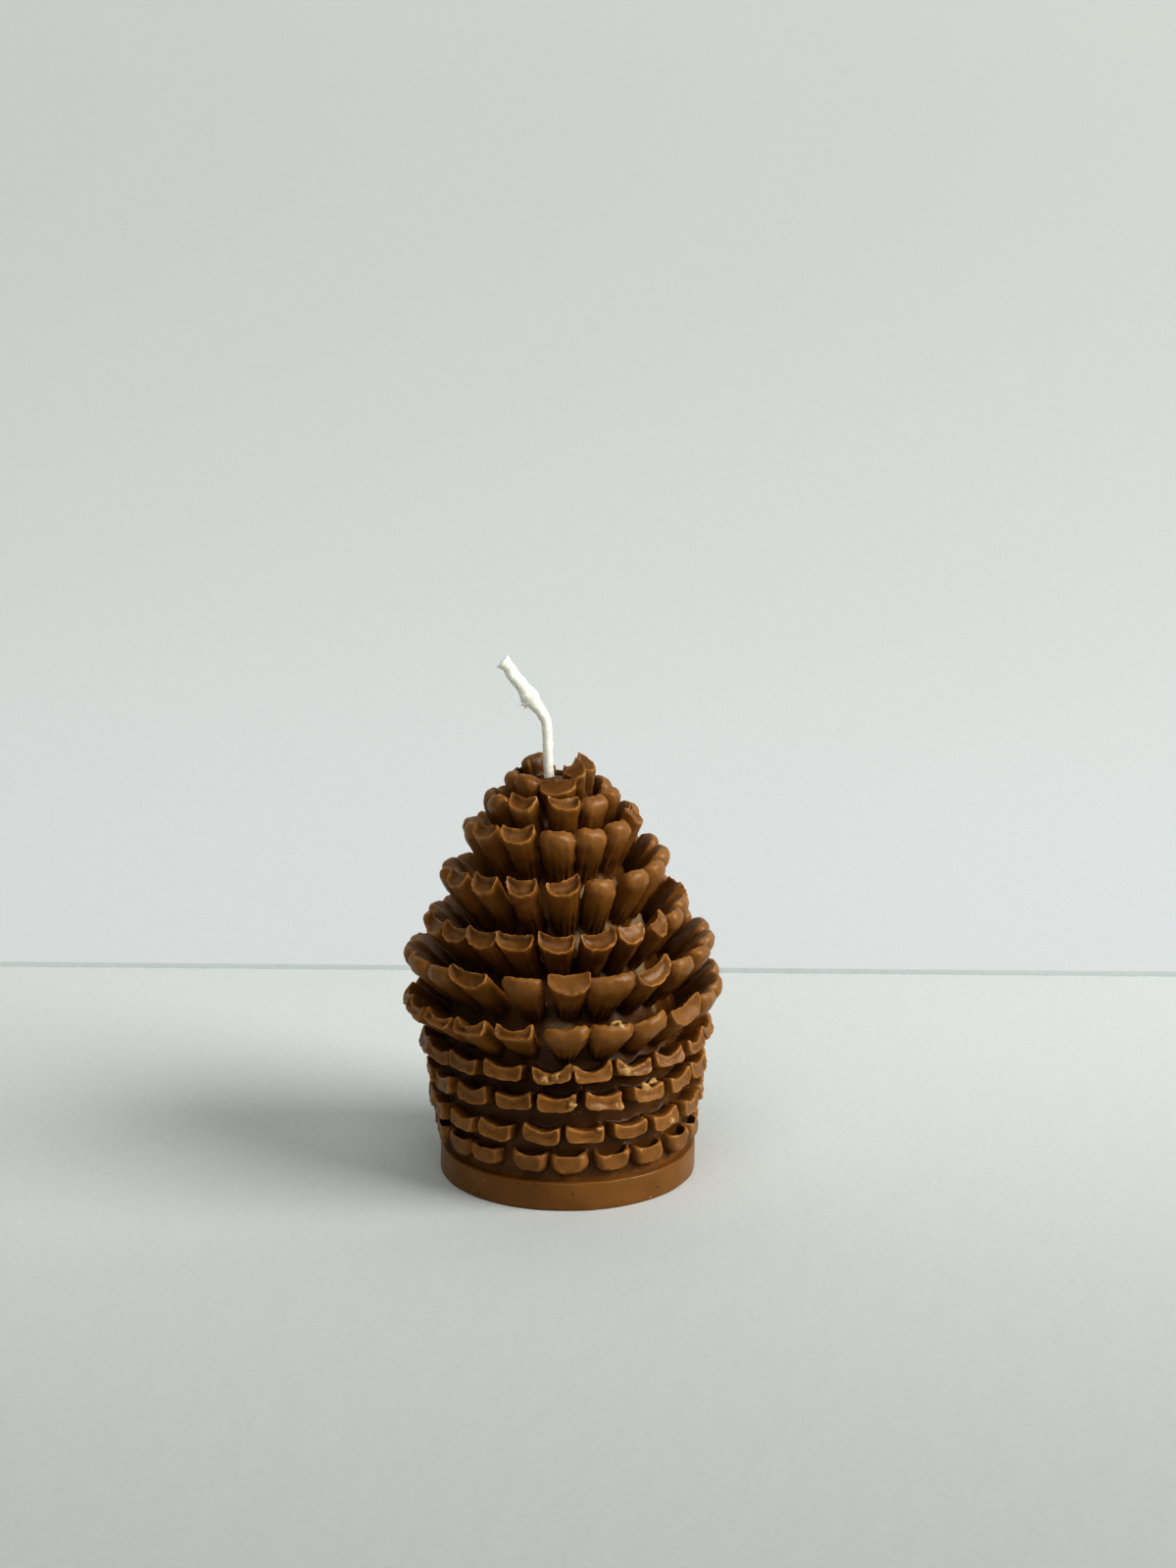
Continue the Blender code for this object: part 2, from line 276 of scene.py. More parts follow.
def soften_end(item, facing, reach, radius):
    """Round over the outline of the end face."""
    place = facing * reach
    pick(item, "EDGE", lambda at, d: abs((at - place).dot(facing)) < 0.02 and abs(d.dot(facing)) < 0.05)
    bpy.ops.mesh.bevel(offset=radius, offset_type="OFFSET", segments=2, affect="EDGES")


def slice_across(item, length, count):
    """Cuts across the length, so that a copy can taper and bend."""
    for i in range(1, count):
        cut(item, (0.0, length * i / count, 0.0), (0.0, 1.0, 0.0))


def make_fan(name, slant, dish, rim, depth):
    item = new_block(name, FAN_WIDTH, FAN_LENGTH + 2.0, SCALE_THICKNESS)
    start_editing(item, "EDGE")
    round_long_edges(item, FAN_WIDTH, SCALE_THICKNESS, 2.1, 0.4)
    dish_and_keel(item, FAN_WIDTH, SCALE_THICKNESS, dish, 0.4)
    facing = Vector((0.0, math.cos(slant), -math.sin(slant)))
    end = Vector((0.0, FAN_LENGTH, 0.0))
    cut(item, end, facing, clear=True)
    soften_end(item, facing, end.dot(facing), 0.16)
    hollow_end(item, facing, rim, depth)
    slice_across(item, FAN_LENGTH - 2.0, 5)
    stop_editing()
    finish_with(item, "round", "SUBSURF", levels=2, render_levels=2)
    return item


fan = make_fan("master_fan", FAN_SLANT, 0.75, 0.36, 0.8)
flat = make_fan("master_flat", FAN_SLANT, 0.4, 0.34, 0.35)
broken = make_fan("master_broken", math.radians(36.0), 0.05, 0.4, 0.35)
print("fan faces", len(fan.data.polygons), "size", [round(v, 2) for v in fan.dimensions])

# %% [markdown]
# A scale with a rounded end
#
# Many ends filled the mould without being cut, and are round like fingertips. The same block is
# stopped short, and its end face is pulled out in steps, each step smaller and set nearer to the
# upper face, so that the underside rolls up to the tip.

# %% The finger
DOME_FROM = 11.3
DOME_STEPS = ((1.1, 0.96, 0.90), (0.8, 0.84, 0.80), (0.5, 0.70, 0.70), (0.3, 0.50, 0.55))
DOME_LEVEL = 0.35


def pull_out_dome(item, start, steps, level):
    """Extrude the end face along +Y in shrinking steps."""
    pick(item, "FACE", lambda at, n: n.y > 0.9 and at.y > start - EDGE_REACH)
    reach = start
    for step, across, up in steps:
        bpy.ops.mesh.extrude_region_move(TRANSFORM_OT_translate={"value": (0.0, step, 0.0)})
        reach += step
        bpy.ops.transform.resize(value=(across, 1.0, up), center_override=(0.0, reach, level))


def make_finger():
    item = new_block("master_finger", FAN_WIDTH, DOME_FROM, SCALE_THICKNESS)
    start_editing(item, "EDGE")
    round_long_edges(item, FAN_WIDTH, SCALE_THICKNESS, 1.95, 0.5)
    dish_and_keel(item, FAN_WIDTH, SCALE_THICKNESS, 0.45, 0.3)
    pull_out_dome(item, DOME_FROM, DOME_STEPS, DOME_LEVEL)
    slice_across(item, DOME_FROM - 1.0, 5)
    stop_editing()
    finish_with(item, "round", "SUBSURF", levels=2, render_levels=2)
    return item


finger = make_finger()
print("finger faces", len(finger.data.polygons), "size", [round(v, 2) for v in finger.dimensions])

# %% [markdown]
# The stubs and the cups
#
# Lower down the mould is straight and the scales show only their blunt ends: a flat face with a
# soft bright rim, its top edge dipping in the middle. In the row above them the dip is deep, and
# leaves two horns. The lowest row is a row of little cups: the rounded end of a half-round bar,
# hollowed from above, with a small flat where it touched the mould.

# %% The stub, the horned stub and the cup
STUB_THICKNESS = 3.1
STUB_WIDTH = 6.7
STUB_LENGTH = 5.6
CUP_THICKNESS = 5.2
CUP_TILT = math.radians(24.0)
CUP_DOME = ((0.7, 0.94, 0.92), (0.6, 0.86, 0.84), (0.5, 0.76, 0.74), (0.3, 0.60, 0.60))


def make_stub(name, dish, below, above, rim):
    item = new_block(name, STUB_WIDTH, STUB_LENGTH, STUB_THICKNESS)
    start_editing(item, "EDGE")
    round_long_edges(item, STUB_WIDTH, STUB_THICKNESS, below, above)
    dish_and_keel(item, STUB_WIDTH, STUB_THICKNESS, dish, 0.1)
    facing = Vector((0.0, 1.0, 0.0))
    soften_end(item, facing, STUB_LENGTH, 0.25)
    hollow_end(item, facing, rim, 0.28)
    slice_across(item, STUB_LENGTH - 1.4, 3)
    stop_editing()
    finish_with(item, "round", "SUBSURF", levels=2, render_levels=2)
    return item


def make_cup():
    length = STUB_LENGTH - sum(step for step, *_ in CUP_DOME)
    item = new_block("master_cup", STUB_WIDTH, length, CUP_THICKNESS)
    start_editing(item, "EDGE")
    round_long_edges(item, STUB_WIDTH, CUP_THICKNESS, 2.5, 0.2)
    pull_out_dome(item, length, CUP_DOME, 0.4)
    brim = Vector((0.0, math.sin(CUP_TILT), math.cos(CUP_TILT)))
    cut(item, (0.0, STUB_LENGTH, 0.7), brim, clear=True)
    pick(item, "FACE", lambda at, n: n.dot(brim) > 0.98)
    bpy.ops.mesh.inset(thickness=0.85, depth=0.0)
    for drop, shrink in ((1.5, 0.92), (0.9, 0.7)):
        bpy.ops.mesh.extrude_region_move(TRANSFORM_OT_translate={"value": -brim * drop})
        bpy.ops.transform.resize(value=(shrink, shrink, 1.0), center_override=(0.0, 1.4, 0.0))
    stop_editing()
    finish_with(item, "round", "SUBSURF", levels=2, render_levels=2)
    start_editing(item, "FACE")
    facing = Vector((0.0, 1.0, -0.12)).normalized()
    cut(item, (0.0, STUB_LENGTH - 0.5, -0.2), facing, clear=True)
    hollow_end(item, facing, 0.25, 0.12)
    stop_editing()
    return item


stub = make_stub("master_stub", 1.05, 1.1, 0.35, 0.36)
horned = make_stub("master_horned", 1.6, 1.2, 0.35, 0.36)
cup = make_cup()
print("stub faces", [len(item.data.polygons) for item in (stub, horned, cup)])

# %% [markdown]
# Setting the scales round the cone
#
# Each copy gets its own mesh. Its points are carried from the straight master to the cone: tapered
# to the root, ridged lengthwise, rolled, twisted and bent a little by a seeded draw, turned to its
# slope and set at its angle. The ridges run together at the root, because the taper draws them in.
# A short list names the scales at the front that differ from their neighbours, as the row and the
# angle where each stands.

# %% Copies of the scales
RIDGES = 5.0
RIDGE_HEIGHT = 0.22
ROLL = math.radians(6.0)
TWIST = math.radians(6.0)
BEND = 0.45
SLANT = 0.18
SKEW = 0.12
LUMP = 0.2
LUMP_SIZE = 2.6
ROUGH = 0.32
ROUGH_SIZE = 0.7
RAGGED = 0.09
RAGGED_STUB = 0.13
RAGGED_SIZE = 0.8
ROUND_SHARE = 0.3
ROUND_AT_SIDES = 0.8
FINGER_FULLER = 1.03
TAPER_POWER = (1.0, 1.0, 1.0, 1.0, 1.0, 0.85, 0.7, 0.6, 0.55, 0.5, 0.5)
FULLER = (0.95, 1.0, 1.0, 0.97, 1.06, 1.05, 0.98, 1.02, 1.02, 1.02, 1.0)
SIDES = (56.0, 125.0)
Odd = namedtuple("Odd", "row angle style width roll skew lift pull", defaults=(1.0, 0.0, 0.0, 0.0, 0.0))
ODD_ONES = (
    Odd(4, -52, "finger"), Odd(4, -33, "flat"), Odd(4, -17, "fan"), Odd(4, 1, "finger", 1.08),
    Odd(4, 16, "finger"), Odd(4, 32, "finger", 1.0, 12, 0.2), Odd(4, 50, "flat", 1.0, 14, 0.2),
    Odd(5, -44, "flat"), Odd(5, -28, "fan", 1.1, -8, -0.1), Odd(5, -11, "finger", 1.05),
    Odd(5, 3, "flat"), Odd(5, 21, "finger", 1.25, 8), Odd(5, 35, "fan", 1.0, 22),
    Odd(5, 58, "finger"), Odd(5, 67, "finger"),
    Odd(6, -51, "fan"), Odd(6, -34, "fan"), Odd(6, -17, "fan"), Odd(6, 0, "fan"),
    Odd(6, 17, "fan", 1.05, 6), Odd(6, 33, "flat", 0.85), Odd(6, 49, "fan", 1.0, 20),
    Odd(6, 59, "finger"),
    Odd(7, -54, "fan"), Odd(7, -37, "fan"), Odd(7, -17, "fan"), Odd(7, 4, "fan", 1.0, 8, 0.1),
    Odd(7, 25, "finger"), Odd(7, 45, "finger"), Odd(7, 74, "finger"),
    Odd(8, -60, "fan"), Odd(8, -48, "fan"), Odd(8, -24, "fan", 1.0, 8), Odd(8, 2, "finger", 1.05),
    Odd(8, 24, "finger"), Odd(8, 52, "finger"),
    Odd(9, -58, "fan"), Odd(9, -28, "fan"), Odd(9, 9, "fan", 1.05, 8), Odd(9, 43, "finger", 1.05),
    Odd(10, -36, "finger"), Odd(10, 4, "broken", 1.4, -4, 0.0, 0.1, 0.4),
    Odd(10, 48, "flat", 0.7, 0, 0.8, 0.5, -0.7),
    Odd(10, 92, "flat", 0.75, 0, 0.5, 0.6, -0.5), Odd(10, 136, "finger", 0.8, 0, 0, -1.2),
    Odd(11, 180, "finger", 0.7, 0, 0, -2.4), Odd(11, -136, "finger", 1.35, 0, 0, 0.5),
)
ODD_REACH = 6.0
masters = {
    "fan": (fan, FAN_WIDTH, FAN_LENGTH, SCALE_THICKNESS),
    "flat": (flat, FAN_WIDTH, FAN_LENGTH, SCALE_THICKNESS),
    "broken": (broken, FAN_WIDTH, FAN_LENGTH, SCALE_THICKNESS),
    "finger": (finger, FAN_WIDTH, FAN_LENGTH, SCALE_THICKNESS),
    "stub": (stub, STUB_WIDTH, STUB_LENGTH, STUB_THICKNESS),
    "horned": (horned, STUB_WIDTH, STUB_LENGTH, STUB_THICKNESS),
    "cup": (cup, STUB_WIDTH, STUB_LENGTH, STUB_THICKNESS),
}


def form_of(turn, step, angle, own):
    """What a scale looks like: one of the odd ones at the front, or its row's usual form."""
    facing = (angle + 180.0) % 360.0 - 180.0
    if turn < STUB_TURNS:
        return Odd(turn, facing, ("cup", "stub", "stub", "horned")[turn])
    row = turn + (2 * step > TURNS[turn].count)
    for odd in ODD_ONES:
        if odd.row == row and abs(odd.angle - facing) < ODD_REACH:
            return odd
    share = ROUND_AT_SIDES if SIDES[0] < abs(facing) < SIDES[1] else ROUND_SHARE
    return Odd(row, facing, "finger" if own.random() < share else "fan")


def set_on_cone(along, across, up, angle, sizes):
    """A point of a scale, in millimetres from its end, as a point of the cone."""
    slope = math.radians(sizes.slope)
    outwards = sizes.radius + along * math.cos(slope) - up * math.sin(slope)
    height = sizes.height + along * math.sin(slope) + up * math.cos(slope)
    turned = math.radians(angle)
    x = outwards * math.sin(turned) + across * math.cos(turned)
    y = -outwards * math.cos(turned) + across * math.sin(turned)
    return Vector((x + lean_left(height), y, height))


def copy_scale(turn_number, form, angle, sizes, own):
    """One scale, its own mesh, shaped from its master. `own` is this scale's random source."""
    master, width, length, thickness = masters[form.style]
    mesh = master.data.copy()
    reach = sizes.length + ROOT_SUNK
    roll = math.radians(form.roll) + own.uniform(-ROLL, ROLL)
    twist = own.uniform(-TWIST, TWIST)
    bend = own.uniform(-BEND, BEND)
    slant = own.uniform(-SLANT, SLANT)
    skew = form.skew + own.uniform(-SKEW, SKEW)
    drift = Vector((own.uniform(0, 50), own.uniform(0, 50), own.uniform(0, 50)))
    power = TAPER_POWER[turn_number]
    full_width = sizes.width * form.width * FULLER[turn_number]
    if form.style == "finger":
        full_width *= FINGER_FULLER
    long_one = form.style in ("fan", "flat", "finger", "broken")
    outwards = Vector((math.sin(math.radians(angle)), -math.cos(math.radians(angle)), 0.0))
    ragged = RAGGED if long_one else RAGGED_STUB
    fuller = 1.0 if long_one else own.uniform(0.92, 1.12)
    for point in mesh.vertices:
        share = point.co.y / length
        near_root = 1.0 - smooth_share(share * 1.15)
        side = point.co.x / width
        across = side * blend(sizes.root, full_width, min(share, 1.0) ** power)
        up = point.co.z * fuller * blend(0.8, 1.0, min(share, 1.0))
        if long_one:
            ridge = math.cos(side * RIDGES * 2.0 * math.pi)
            up += RIDGE_HEIGHT * ridge * (0.2 + near_root) * (1.0 if up < 0.0 else 1.6)
        turn = (roll + twist * (share - 1.0)) * (1.0 - near_root)
        across, up = (across * math.cos(turn) - up * math.sin(turn),
                      across * math.sin(turn) + up * math.cos(turn))
        along = (share - 1.0) * reach + (slant * up + skew * across) * share * share
        across += bend * share * share
        spot = set_on_cone(along, across, up, angle, sizes)
        spot.z += form.lift * share
        spot += outwards * form.pull * share
        spot += noise.noise_vector(spot / RAGGED_SIZE) * ragged * smooth_share(share)
        if form.style == "broken" and share > 0.94:
            spot += noise.noise_vector(spot / ROUGH_SIZE) * ROUGH
        point.co = spot + noise.noise_vector(spot / LUMP_SIZE + drift) * LUMP
    return bpy.data.objects.new("scale_copy", mesh)


def all_scales():
    draw = random.Random(SEED)
    copies = []
    for number, (turn, step, angle, sizes) in enumerate(places):
        angle += draw.uniform(-TURN_WOBBLE, TURN_WOBBLE)
        sizes = sizes._replace(
            width=sizes.width * (1.0 + draw.uniform(-WIDTH_WOBBLE, WIDTH_WOBBLE)),
            slope=sizes.slope + draw.uniform(-SLOPE_WOBBLE, SLOPE_WOBBLE))
        own = random.Random(1000 + number)
        copy = copy_scale(turn, form_of(turn, step, angle, own), angle, sizes, own)
        bpy.context.scene.collection.objects.link(copy)
        copies.append(copy)
    return copies


copies = all_scales()
print("copies", len(copies), "faces", sum(len(copy.data.polygons) for copy in copies))

# %% [markdown]
# The core
#
# Between the scales the cast core shows as a plain turned surface. Its outline is drawn edge by
# edge, extruding one point after another, and spun round the axis. Afterwards each point follows
# the cone's lean, as the scales do.

# %% Turning the core
CORE_PROFILE = ((2.0, 21.3), (25.0, 20.7), (31.0, 19.0), (40.0, 15.9), (50.0, 12.6),
                (60.0, 9.2), (66.5, 6.2), (69.6, 4.0))
CORE_STEPS = 96


def make_core():
    mesh = bpy.data.meshes.new("core")
    mesh.from_pydata([(0.0, 0.0, CORE_PROFILE[0][0])], [], [])
    core = bpy.data.objects.new("core", mesh)
    bpy.context.scene.collection.objects.link(core)
    start_editing(core, "VERT")
    bpy.ops.mesh.select_all(action="SELECT")
    at = Vector((0.0, 0.0, CORE_PROFILE[0][0]))
    outline = [*((radius, height) for height, radius in CORE_PROFILE), (0.0, CORE_PROFILE[-1][0] + 0.8)]
    for radius, height in outline:
        step = Vector((radius, 0.0, height)) - at
        bpy.ops.mesh.extrude_region_move(TRANSFORM_OT_translate={"value": step})
        at += step
    bpy.ops.mesh.select_all(action="SELECT")
    bpy.ops.mesh.spin(steps=CORE_STEPS, angle=2.0 * math.pi, center=(0, 0, 0), axis=(0, 0, 1))
    bpy.ops.mesh.select_all(action="SELECT")
    bpy.ops.mesh.remove_doubles(threshold=0.01)
    bpy.ops.mesh.normals_make_consistent(inside=False)
    stop_editing()
    for point in core.data.vertices:
        point.co.x += lean_left(point.co.z)
    return core


core = make_core()
print("core faces", len(core.data.polygons), "size", [round(v, 2) for v in core.dimensions])

# %% [markdown]
# Crumbs and a curl
#
# Where the stubs scraped along the mould, pale crumbs of wax cling to their corners, and one long
# scale has a thin curl of wax on its edge. Each crumb is a small ball, knocked out of shape.

# %% Crumbs and the curl
Crumb = namedtuple("Crumb", "x y z size")
CRUMBS = (
    Crumb(13.1, -20.1, 21.6, 0.42),
    Crumb(14.6, -18.9, 21.9, 0.5),
    Crumb(13.8, -19.6, 20.9, 0.3),
    Crumb(18.4, -14.5, 19.3, 0.42),
    Crumb(19.0, -13.7, 17.8, 0.36),
    Crumb(1.1, -24.4, 19.5, 0.4),
    Crumb(9.0, -22.4, 18.5, 0.42),
    Crumb(8.5, -22.6, 19.1, 0.3),
    Crumb(10.1, -23.0, 24.9, 0.4),
    Crumb(-1.8, -25.2, 24.9, 0.4),
    Crumb(-3.6, -25.0, 24.4, 0.3),
    Crumb(5.5, -23.8, 15.2, 0.3),
    Crumb(-8.2, -23.2, 13.6, 0.28),
    Crumb(17.6, -15.7, 13.7, 0.4),
    Crumb(15.3, 18.7, 19.6, 0.4),
    Crumb(11.4, 21.3, 14.4, 0.35),
    Crumb(-7.9, 23.2, 25.6, 0.45),
    Crumb(-14.4, 20.0, 20.8, 0.4),
    Crumb(-24.6, 3.4, 15.2, 0.35),
    Crumb(23.6, 4.2, 26.0, 0.4),
    Crumb(-20.4, -14.0, 22.0, 0.35),
    Crumb(7.6, -26.2, 34.3, 0.24),
    Crumb(8.1, -26.0, 34.6, 0.22),
    Crumb(8.7, -25.8, 34.5, 0.27),
    Crumb(8.9, -25.5, 34.1, 0.20),
)
CRUMB_STRETCH = 0.7


def make_crumbs():
    made = []
    for crumb in CRUMBS:
        bpy.ops.object.select_all(action="DESELECT")
        bpy.ops.mesh.primitive_ico_sphere_add(
            subdivisions=3, radius=crumb.size, location=(crumb.x, crumb.y, crumb.z))
        ball = bpy.context.object
        bpy.ops.object.transform_apply(location=True)
        middle = Vector(crumb[:3])
        around = Vector((-crumb.y, crumb.x, 0.0)).normalized()
        for point in ball.data.vertices:
            point.co += noise.noise_vector(point.co / (crumb.size * 0.8)) * crumb.size
            sideways = around.dot(point.co - middle)
            point.co += around * sideways * CRUMB_STRETCH
        made.append(ball)
    return made


crumbs = make_crumbs()
print("crumbs", len(crumbs))

# %% [markdown]
# Fusing the wax
#
# The candle is one casting, so the scales have to grow out of the core without a seam. A Boolean
# would leave sharp corners at every root. A voxel remesh fills the inner corners as wax does, and a
# little smoothing afterwards takes off the steps. Two cloud textures then push the skin in and out
# by hundredths of a millimetre, and Decimate leaves the faces where the shape needs them.

# %% One skin over core and scales
VOXEL = 0.21
WAX_FACES = 190000
RELIEF_STEPS = 10


def cloud(name, size, depth):
    texture = bpy.data.textures.new(name, "CLOUDS")
    texture.noise_scale = size
    texture.noise_depth = depth
    return texture


def mark_skin(item):
    """Store how far each point stands out from its surroundings, for painted highlight and shade."""
    mesh = item.data
    count = len(mesh.vertices)
    spots = np.empty(count * 3, np.float32)
    normals = np.empty(count * 3, np.float32)
    ends = np.empty(len(mesh.edges) * 2, np.int32)
    mesh.vertices.foreach_get("co", spots)
    mesh.vertices.foreach_get("normal", normals)
    mesh.edges.foreach_get("vertices", ends)
    a, b = ends.reshape(-1, 2).T
    links = np.maximum(np.bincount(a, minlength=count) + np.bincount(b, minlength=count), 1)
    around = spots.reshape(-1, 3).copy()
    for _ in range(RELIEF_STEPS):
        for axis in range(3):
            values = around[:, axis]
            total = np.bincount(a, values[b], count) + np.bincount(b, values[a], count)
            around[:, axis] = total / links
    relief = ((spots.reshape(-1, 3) - around) * normals.reshape(-1, 3)).sum(axis=1)
    layer = mesh.attributes.new("relief", "FLOAT", "POINT")
    layer.data.foreach_set("value", relief.astype(np.float32))
    print("relief in millimetres", [round(float(v), 3) for v in np.percentile(relief, (5, 50, 95))])


def keep_one_body(item):
    """Delete every loose speck that doesn't hang together with the item's lowest point."""
    start_editing(item, "VERT")
    mesh = bmesh.from_edit_mesh(item.data)
    min(mesh.verts, key=lambda point: point.co.z).select_set(True)
    bmesh.update_edit_mesh(item.data)
    bpy.ops.mesh.select_linked()
    bpy.ops.mesh.select_all(action="INVERT")
    loose = sum(point.select for point in bmesh.from_edit_mesh(item.data).verts)
    bpy.ops.mesh.delete(type="VERT")
    stop_editing()
    print("loose points deleted", loose)


def fuse_wax():
    take(core)
    for other in (*copies, *crumbs):
        other.select_set(True)
    bpy.ops.object.join()
    wax = bpy.context.object
    wax.name = "wax"
    finish_with(wax, "fuse", "REMESH", mode="VOXEL", voxel_size=VOXEL, adaptivity=0.0)
    finish_with(wax, "soften", "SMOOTH", factor=0.5, iterations=2)
    finish_with(wax, "lumps", "DISPLACE", texture=cloud("lumps", 2.2, 1), strength=0.22, mid_level=0.5)
    finish_with(wax, "grain", "DISPLACE", texture=cloud("grain", 0.7, 0), strength=0.05, mid_level=0.5)
    mark_skin(wax)
    faces = sum(len(face.vertices) - 2 for face in wax.data.polygons)
    print("remeshed triangles", faces)
    finish_with(wax, "thin", "DECIMATE", ratio=min(1.0, WAX_FACES / faces))
    keep_one_body(wax)
    return wax


wax = fuse_wax()
print("wax triangles", sum(len(face.vertices) - 2 for face in wax.data.polygons))
for master, *_ in masters.values():
    bpy.data.objects.remove(master, do_unlink=True)

# %% [markdown]
# The plinth and the wick's hole
#
# The plinth is crisp and round where the mould's rim shaped it, so it is made apart as a bevelled
# cylinder and joined by a Boolean union. The hole for the wick is cut with a tube along the wick's
# own route, a little wider than the cord.

# %% Plinth, hole and the route of the wick
PLINTH_RADIUS = 22.5
PLINTH_HEIGHT = 5.0
PLINTH_SIDES = 160
PLINTH_LEVELS = (1.2, 2.1, 3.0, 3.9)
PLINTH_SWAY = 0.13
PLINTH_SWAY_SIZE = 3.5
HOLE_RADIUS = 1.04
WICK_FOOT = 3.0
WICK_ROUTE = ((0.0, WICK_FOOT), (-0.3, 18.0), (-0.9, 36.0), (-1.9, 54.0), (-3.0, 68.0),
              (-3.3, 73.7), (-3.5, 78.8), (-4.1, 80.9), (-5.0, 82.3), (-6.4, 84.1),
              (-7.6, 85.9), (-8.9, 87.5), (-10.0, 89.2), (-11.1, 90.3))
WICK_RADII = (0.95, 0.95, 0.95, 0.95, 0.95, 0.86, 0.88, 0.98, 1.05, 1.55, 1.14, 1.18, 1.10, 1.40)
ROUTE_STEPS = 8
BORE_TOP_POINT = 6


def smooth_route(points, steps):
    """Points on a smooth curve through the given (x, height) points."""
    ends = [points[0], *points, points[-1]]
    route = []
    for before, start, stop, after in zip(ends, ends[1:], ends[2:], ends[3:]):
        for step in range(steps):
            t = step / steps
            x, height = (
                b + 0.5 * t * (c - a + (2.0 * a - 5.0 * b + 4.0 * c - d) * t
                               + (3.0 * (b - c) + d - a) * t * t)
                for a, b, c, d in zip(before, start, stop, after))
            route.append(Vector((x, 0.0, height)))
    route.append(Vector((points[-1][0], 0.0, points[-1][1])))
    return route


def tube_along(name, route, radii, sides):
    """A closed round tube along a route, as a mesh. `radii` is one radius or one for each point."""
    curve = bpy.data.curves.new(name, "CURVE")
    curve.dimensions = "3D"
    curve.bevel_depth = 1.0
    curve.bevel_resolution = sides
    curve.use_fill_caps = True
    spline = curve.splines.new("POLY")
    spline.points.add(len(route) - 1)
    if not isinstance(radii, list):
        radii = [radii] * len(route)
    for spot, place, radius in zip(spline.points, route, radii):
        spot.co = (*place, 1.0)
        spot.radius = radius
    tube = bpy.data.objects.new(name, curve)
    bpy.context.scene.collection.objects.link(tube)
    take(tube)
    bpy.ops.object.convert(target="MESH")
    start_editing(tube, "VERT")
    bpy.ops.mesh.select_all(action="SELECT")
    bpy.ops.mesh.remove_doubles(threshold=0.001)
    bpy.ops.mesh.normals_make_consistent(inside=False)
    stop_editing()
    return tube


def boolean(item, other, operation):
    finish_with(item, "boolean", "BOOLEAN", object=other, operation=operation, solver="MANIFOLD")
    bpy.data.objects.remove(other, do_unlink=True)


def make_plinth():
    take(wax)
    bpy.ops.object.select_all(action="DESELECT")
    bpy.ops.mesh.primitive_cylinder_add(
        vertices=PLINTH_SIDES, radius=PLINTH_RADIUS, depth=PLINTH_HEIGHT,
        location=(0.0, 0.0, PLINTH_HEIGHT / 2.0))
    plinth = bpy.context.object
    bpy.ops.object.transform_apply(location=True)
    start_editing(plinth, "EDGE")
    pick(plinth, "EDGE", lambda at, d: abs(d.z) < 0.1)
    bpy.ops.mesh.bevel(offset=0.35, offset_type="OFFSET", segments=3, affect="EDGES")
    for level in PLINTH_LEVELS:
        cut(plinth, (0.0, 0.0, level), (0.0, 0.0, 1.0))
    stop_editing()
    for point in plinth.data.vertices:
        sway = noise.noise_vector(point.co / PLINTH_SWAY_SIZE)
        point.co += Vector((sway.x, sway.y, 0.4 * sway.z if point.co.z > 1.0 else 0.0)) * PLINTH_SWAY
    return plinth


boolean(wax, make_plinth(), "UNION")
hole_route = smooth_route(((0.0, WICK_FOOT - 0.3), *WICK_ROUTE[1:BORE_TOP_POINT + 1]), ROUTE_STEPS)
boolean(wax, tube_along("hole", hole_route, HOLE_RADIUS, 6), "DIFFERENCE")
print("wax triangles", sum(len(face.vertices) - 2 for face in wax.data.polygons))

# %% [markdown]
# The wick
#
# The wick is a cotton cord that has soaked up wax: nearly smooth and a little uneven, kinked where
# it was bent, with a fuzzy lump on the bend's inner side and a flared end where it was snipped. It
# is a tube of changing thickness, with its cut end pushed in and short fibres laid on at the lump.
# A fine remesh makes one body of it, and cloud textures roughen it.

# %% Drawing out the wick
WICK_VOXEL = 0.11
WICK_FACES = 60000
LUMP_AT = Vector((-6.9, 0.0, 83.2))
FIBRES = 26
FIBRE_RADIUS = 0.09


def radii_along(values, steps):
    """One radius for each point of a smooth route, between the given ones."""
    radii = []
    for low, high in zip(values, values[1:]):
        radii += [blend(low, high, smooth_share(step / steps)) for step in range(steps)]
    return [*radii, values[-1]]


def lay_fibres():
    """Short bent fibres round the lump, and a few at the cut end."""
    draw = random.Random(SEED)
    fibres = []
    for i in range(FIBRES):
        at_end = i >= FIBRES - 6
        middle = Vector((-11.6, 0.0, 90.2)) if at_end else LUMP_AT
        reach = (0.5, 1.2, 0.5) if at_end else (0.9, 0.9, 0.9)
        start = middle + Vector([draw.uniform(-r, r) for r in reach])
        lean = Vector((draw.uniform(-1.0, 0.2), draw.uniform(-0.7, 0.7), draw.uniform(-0.7, 0.7)))
        curl = Vector([draw.uniform(-0.5, 0.5) for _ in range(3)])
        route = [start + lean * t * 0.8 + curl * t * t for t in (0.0, 0.3, 0.6, 1.0)]
        radii = [FIBRE_RADIUS * share for share in (1.3, 1.2, 1.0, 0.7)]
        fibres.append(tube_along(f"fibre_{i}", route, radii, 1))
    return fibres


